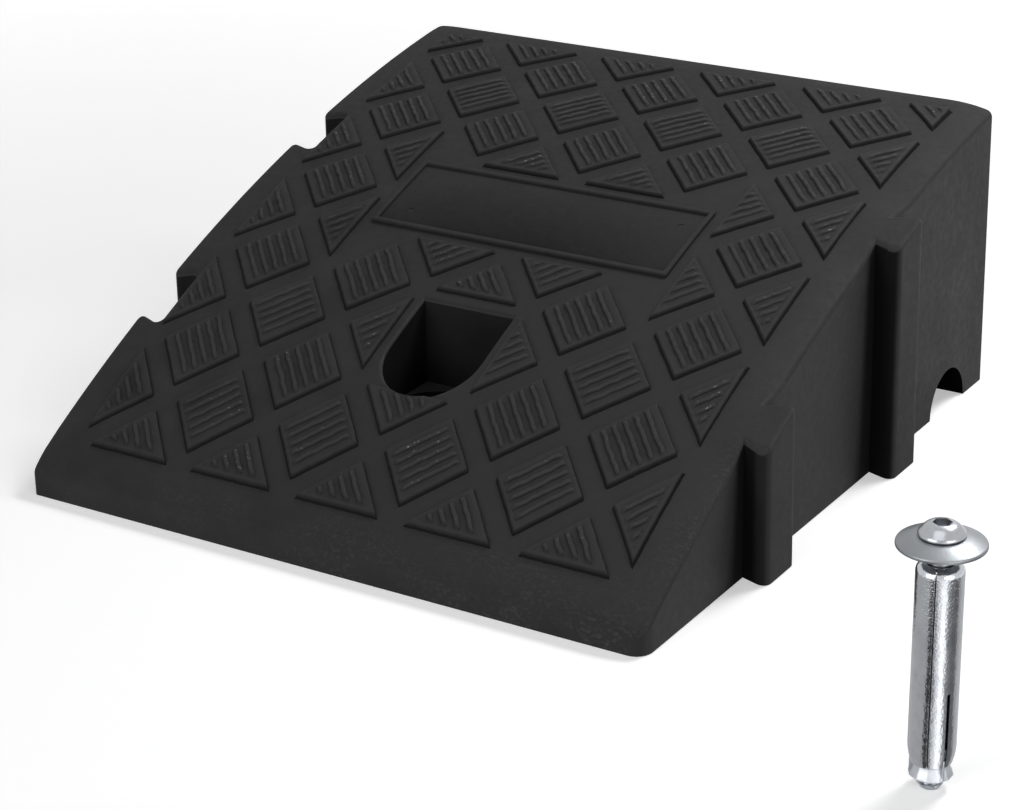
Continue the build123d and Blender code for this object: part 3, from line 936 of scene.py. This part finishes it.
bmesh.ops.transform(star, matrix=anchor_place, verts=star.verts)
star_zinc = zinc("zinc_on_star", roughness=0.25, unevenness=0.3, painted_shade_level=0.4)
star_piece = add_piece("star_retainer", star, star_zinc, "bolt")
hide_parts("star_washer")


# Expansion sleeve: a rolled steel tube with bright zinc plating, its top turned in round the bolt.
# Three slits divide its lower part into fingers that the cone nut spreads in the drilled hole.
sleeve_low, sleeve_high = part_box("anchor_sleeve")
sleeve_radius = (sleeve_high.x - sleeve_low.x) / 2
sleeve_wall, sleeve_shoulder, lip_radius, lip_round = 0.0013, 0.0026, 0.00415, 0.0003
sleeve_bore = sleeve_radius - sleeve_wall
slit_width, first_slit, finger_count = 0.0010, radians(208), 3
seam_angle, seam_width, seam_depth = radians(284), 0.0006, 0.0004
finger_curl, curl_length, finger_mouth = 0.0010, 0.0036, 0.0057
curl_round, finger_round = 0.0020, 0.0004
slit_top = sleeve_low.z
sleeve_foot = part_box("sleeve_finger_1")[0].z
bright_zinc = zinc("zinc_on_sleeve", roughness=0.08, unevenness=0.8, painted_shade_level=0.0)


def press_seam(bm):
    """Narrow groove down the outside, where the edges of the rolled strip meet."""
    out = Vector((cos(seam_angle), sin(seam_angle), 0))
    aside = Vector((-out.y, out.x, 0))
    shade_and_grime = bm.verts.layers.float.new("grimy")
    cut_across(bm, aside, [-seam_width / 2, 0, seam_width / 2])
    for v in bm.verts:
        if abs(aside.dot(v.co)) < near and out.dot(v.co) > sleeve_radius - sleeve_wall / 2:
            v.co -= out * seam_depth
            v[shade_and_grime] = 1


sleeve = turned(
    [
        (sleeve_radius, slit_top),
        (sleeve_radius, sleeve_high.z),
        (lip_radius, sleeve_high.z),
        (lip_radius, sleeve_high.z - sleeve_wall),
        (sleeve_bore, sleeve_high.z - sleeve_wall),
        (sleeve_bore, slit_top),
    ],
    {1: sleeve_shoulder, 2: lip_round, 4: sleeve_wall},
    steps=96,
)
press_seam(sleeve)
bmesh.ops.transform(sleeve, matrix=anchor_place, verts=sleeve.verts)
sleeve_piece = add_piece("sleeve_tube", sleeve, bright_zinc, "sleeve")
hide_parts("anchor_sleeve")

slit_angles = [first_slit + i * tau / finger_count for i in range(finger_count + 1)]
for i in range(finger_count):
    finger = turned(
        [
            (sleeve_radius, slit_top),
            (sleeve_radius, sleeve_foot + curl_length),
            (sleeve_radius - finger_curl, sleeve_foot),
            (finger_mouth, sleeve_foot),
            (sleeve_bore, sleeve_foot + curl_length),
            (sleeve_bore, slit_top),
        ],
        {1: curl_round, 2: finger_round, 4: curl_round},
        steps=96,
    )
    press_seam(finger)
    for angle, side in ((slit_angles[i], -1), (slit_angles[i + 1], 1)):
        away = side * Vector((-sin(angle), cos(angle), 0))
        bmesh.ops.bisect_plane(
            finger, geom=everything(finger), dist=near / 10, plane_co=-away * slit_width / 2, plane_no=away,
            clear_outer=True,
        )
    bmesh.ops.holes_fill(finger, edges=[e for e in finger.edges if e.is_boundary], sides=0)
    bmesh.ops.recalc_face_normals(finger, faces=finger.faces)
    bmesh.ops.transform(finger, matrix=anchor_place, verts=finger.verts)
    piece = add_piece(f"sleeve_blade_{i + 1}", finger, bright_zinc, f"finger_{i + 1}")
    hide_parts(f"sleeve_finger_{i + 1}")


# Cone nut: cold-formed steel cone with twelve flats and a flared foot, zinc plated to a satin
# finish. Lugs in the slits keep it from turning while the bolt draws it up into the fingers.
nut_low, nut_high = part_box("cone_nut")
nut_foot, nut_waist, nut_bore, nut_rim = 0.00665, 0.00505, 0.00415, 0.0006
nut_flare, flare_height = 0.0006, 0.0025
nut_round, nut_round_steps, nut_corner = 0.00015, 2, 0.2
nut_flats, lug_width, lug_length = 12, 0.0007, 0.0065
lug_reach = nut_foot - nut_rim / 2 - nut_bore
nut = turned(
    [
        (nut_bore, nut_low.z),
        (nut_foot - nut_rim, nut_low.z),
        (nut_foot, nut_low.z + nut_rim),
        (nut_waist + nut_flare, nut_low.z + flare_height),
        (nut_waist, sleeve_foot),
        (nut_waist * cos(pi / nut_flats), nut_high.z),
        (nut_bore, nut_high.z),
    ],
    steps=nut_flats,
)
bmesh.ops.rotate(nut, cent=(0, 0, 0), matrix=Matrix.Rotation(pi / nut_flats, 3, "Z"), verts=nut.verts)
round_edges(nut, [e for e in nut.edges if e.calc_face_angle(0) > nut_corner], nut_round, nut_round_steps)
for angle in slit_angles[:finger_count]:
    place = Matrix.Rotation(angle, 4, "Z") @ Matrix.Translation(
        (nut_bore + lug_reach / 2, 0, nut_low.z + nut_rim + lug_length / 2)
    )
    lug = bmesh.new()
    bmesh.ops.create_cube(lug, size=1, matrix=Matrix.Diagonal((lug_reach, lug_width, lug_length, 1)))
    round_edges(lug, lug.edges[:], nut_round, nut_round_steps)
    bmesh.ops.transform(lug, matrix=place, verts=lug.verts)
    join_into(nut, lug)
bmesh.ops.transform(nut, matrix=anchor_place, verts=nut.verts)
nut_zinc = zinc("zinc_on_nut", roughness=0.42, unevenness=0.5, painted_shade_level=0.05)
nut_piece = add_piece("nut_cone", nut, nut_zinc, "nut", sharp=radians(24))
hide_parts("cone_nut")


# Studio: a pale floor that turns white with distance, in a white room. The key lamp hangs above and
# behind, a low lamp lights the right wall, a wide one fills in from the front, and two weak ones hang
# over the face and its back right corner, so the tread throws its shadows towards the front left.
floor_size, floor_drop, floor_colour = 6, 0.0002, 0.8
glow_start, glow_end, least_glow = 0.3, 1.2, 0.40
room_light, backdrop_light = 0.08, 1.0
white = grey(1)


def see_through_share(tree):
    """1 for rays that show the background: seen directly, mirrored, or through glass."""
    path = add_node(tree, "LightPath")
    rays = summed(
        tree, (path.outputs["Is Camera Ray"], 1), (path.outputs["Is Glossy Ray"], 1),
        (path.outputs["Is Transmission Ray"], 1),
    )
    return arithmetic(tree, "MINIMUM", rays, 1.0)


def emptied(holder):
    """Node tree of a new material or world, with no nodes in it."""
    holder.use_nodes = True
    holder.node_tree.nodes.clear()
    return holder.node_tree


floor_paint = bpy.data.materials.new("floor_paint")
tree = emptied(floor_paint)
matt = add_node(tree, "BsdfDiffuse", {"Color": grey(floor_colour)})
floor_place = add_node(tree, "TexCoord").outputs["Object"]
from_centre = add_node(tree, "VectorMath", {0: floor_place}, operation="LENGTH").outputs["Value"]
glow_level = ranged(tree, from_centre, glow_start, glow_end, least_glow, 1.0)
glow_share = arithmetic(tree, "MULTIPLY", see_through_share(tree), glow_level)
glow = add_node(tree, "Emission", {"Color": white, "Strength": glow_share})
blend = add_node(tree, "AddShader", {0: matt.outputs[0], 1: glow.outputs[0]})
add_node(tree, "OutputMaterial", {"Surface": blend.outputs[0]})
floor = bmesh.new()
bmesh.ops.create_grid(
    floor, x_segments=1, y_segments=1, size=floor_size, matrix=Matrix.Translation((0, 0, -floor_drop))
)
add_object("studio_floor", floor, floor_paint)

scene.world = bpy.data.worlds.new("studio_light")
tree = emptied(scene.world)
surround = add_node(tree, "Background", {"Color": white, "Strength": room_light})
backdrop = add_node(tree, "Background", {"Color": white, "Strength": backdrop_light})
blend = add_node(
    tree, "MixShader", {0: see_through_share(tree), 1: surround.outputs[0], 2: backdrop.outputs[0]}
)
add_node(tree, "OutputWorld", {"Surface": blend.outputs[0]})

# Glowing cards round the foot of the anchor, seen only in reflections, paint the dark and bright bands in its
# plating.
# Each pair is a bearing from the camera's direction, in degrees, and the glow of the cards there
reflection_tones = [(-180, 0.62), (-60, 0.57), (-42, 0.55), (-37, 0.05), (-24, 0.05), (-20, 0.38), (-8, 0.32)]
reflection_tones += [(-3, 1.0), (10, 1.3), (16, 2.0), (32, 2.0), (42, 0.6), (50, 0.35), (70, 0.20), (92, 0.18)]
reflection_tones += [(106, 0.6), (118, 0.68), (180, 0.68)]
card_inner, card_outer, card_height, card_steps = 0.009, 0.30, 0.0004, 180
camera_bearing = radians(292.5)


def reflection_tone(bearing):
    """Glow of the painted reflection cards at one bearing."""
    for (start, first), (end, second) in zip(reflection_tones, reflection_tones[1:]):
        if start <= bearing <= end:
            return first + (second - first) * (bearing - start) / (end - start)


reflection_glow_paint = bpy.data.materials.new("reflection_glow_paint")
tree = emptied(reflection_glow_paint)
paper_tone = add_node(tree, "Attribute", attribute_name="tone").outputs["Fac"]
glow = add_node(tree, "Emission", {"Color": white, "Strength": paper_tone})
add_node(tree, "OutputMaterial", {"Surface": glow.outputs[0]})
cards = bmesh.new()
cards.edges.new([cards.verts.new((-radius, 0, card_height)) for radius in (card_inner, card_outer)])
bmesh.ops.spin(
    cards, geom=cards.verts[:] + cards.edges[:], cent=(0, 0, 0), axis=(0, 0, 1), angle=tau, steps=card_steps,
    use_merge=True,
)
tone = cards.verts.layers.float.new("tone")
for v in cards.verts:
    v[tone] = reflection_tone(degrees(atan2(v.co.y, v.co.x)))
bmesh.ops.transform(cards, matrix=anchor_place @ Matrix.Rotation(camera_bearing, 4, "Z"), verts=cards.verts)
painted_reflection_cards = add_object("painted_reflection_cards", cards, reflection_glow_paint)
painted_reflection_cards.visible_camera = painted_reflection_cards.visible_diffuse = painted_reflection_cards.visible_shadow = False

# Lamps: name, direction and distance from the middle of the stage, size and power
stage_middle = Vector((0.03, 0.05, 0.03))
lamps = [
    ("key_lamp", (0.28, 0.50, 0.90), 1.4, 0.35, 6.0),
    ("side_lamp", (0.95, -0.50, 0.22), 1.4, 0.8, 5.4),
    ("top_lamp", (0.15, -0.45, 0.85), 1.0, 0.7, 1.2),
    ("corner_lamp", (0.20, 0.20, 0.42), 0.50, 0.2, 0.85),
    ("fill_lamp", (-0.20, -0.85, 0.25), 1.5, 1.1, 9.8),
]
for name, direction, distance, size, power in lamps:
    lamp = bpy.data.lights.new(name, "AREA")
    lamp.shape, lamp.size, lamp.energy = "DISK", size, power
    lamp_object = bpy.data.objects.new(name, lamp)
    lamp_object.location = stage_middle + Vector(direction).normalized() * distance
    lamp_object.rotation_euler = Vector(direction).to_track_quat("Z", "Y").to_euler()
    lamp_object.visible_camera = False
    scene.collection.objects.link(lamp_object)


# Camera: a long lens from the front right, a little above the ramp, as the photograph was taken.
eye = Vector((0.4998, -0.7406, 0.4087))
azimuth, elevation, roll = radians(32.32), radians(22.81), radians(-1.04)
camera = bpy.data.cameras.new("camera")
camera.sensor_width, camera.lens = 36, 96.04
camera.clip_start, camera.clip_end = 0.05, 50
camera_object = bpy.data.objects.new("camera", camera)
towards_eye = Vector((sin(azimuth) * cos(elevation), -cos(azimuth) * cos(elevation), sin(elevation)))
upright_view = (-towards_eye).to_track_quat("-Z", "Y").to_matrix().to_4x4()
camera_object.matrix_world = Matrix.Translation(eye) @ upright_view @ Matrix.Rotation(roll, 4, "Z")
scene.collection.objects.link(camera_object)
scene.camera = camera_object
